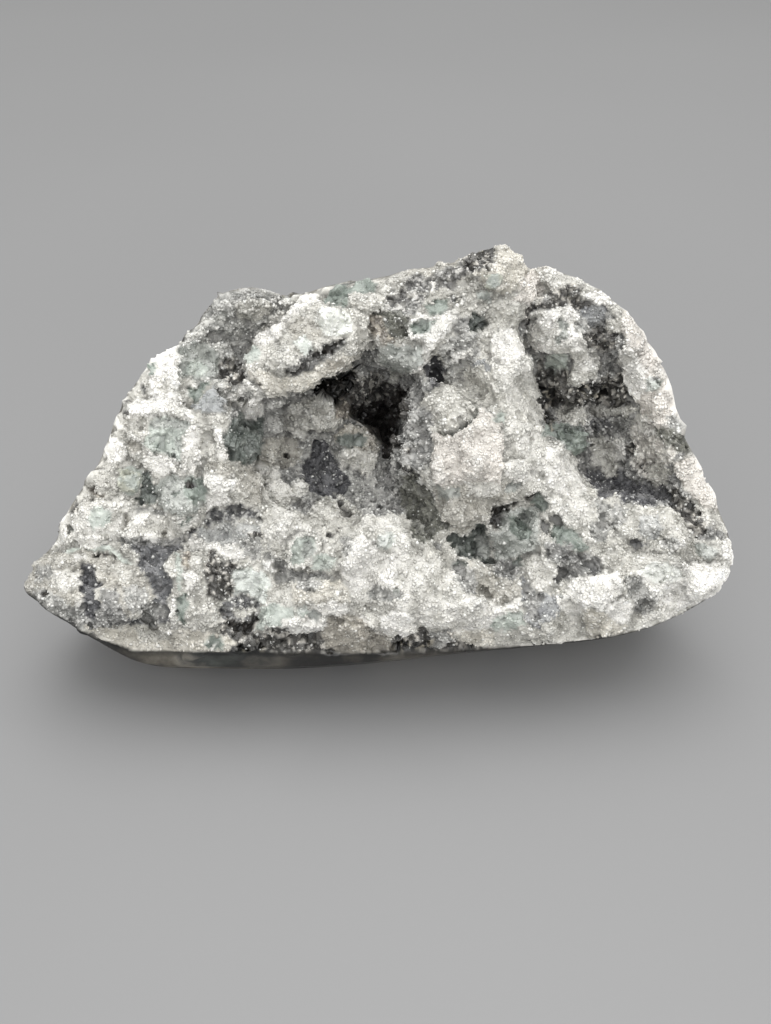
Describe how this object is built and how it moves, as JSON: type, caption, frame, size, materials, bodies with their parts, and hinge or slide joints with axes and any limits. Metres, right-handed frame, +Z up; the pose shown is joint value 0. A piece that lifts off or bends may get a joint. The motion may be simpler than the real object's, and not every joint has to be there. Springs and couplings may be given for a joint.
{
  "type": "sugar fluorite cluster",
  "caption": "Natural mineral specimen: a rock polished on its back and underside, with one rough face of fluorite crystals under sugary quartz and a hollow lined with a crust of small crystals.",
  "frame": {"origin": "middle of the flat that the rock rests on", "axes": "+Z up, +X to the right as the rough face is seen, -Y towards the viewer; the rough face leans back 45 degrees"},
  "size_m": [0.1235, 0.0677, 0.0687],
  "materials": {
    "fluorite_stone": "sugary white and pale green crystals on dark grey matrix; polished on the back and underside",
    "hollow_druse": "fine grey druse with green fluorite showing through"
  },
  "bodies": {
    "root": {"fluorite_rock": "fluorite_stone", "hollow_crust": "hollow_druse"}
  },
  "joints": []
}
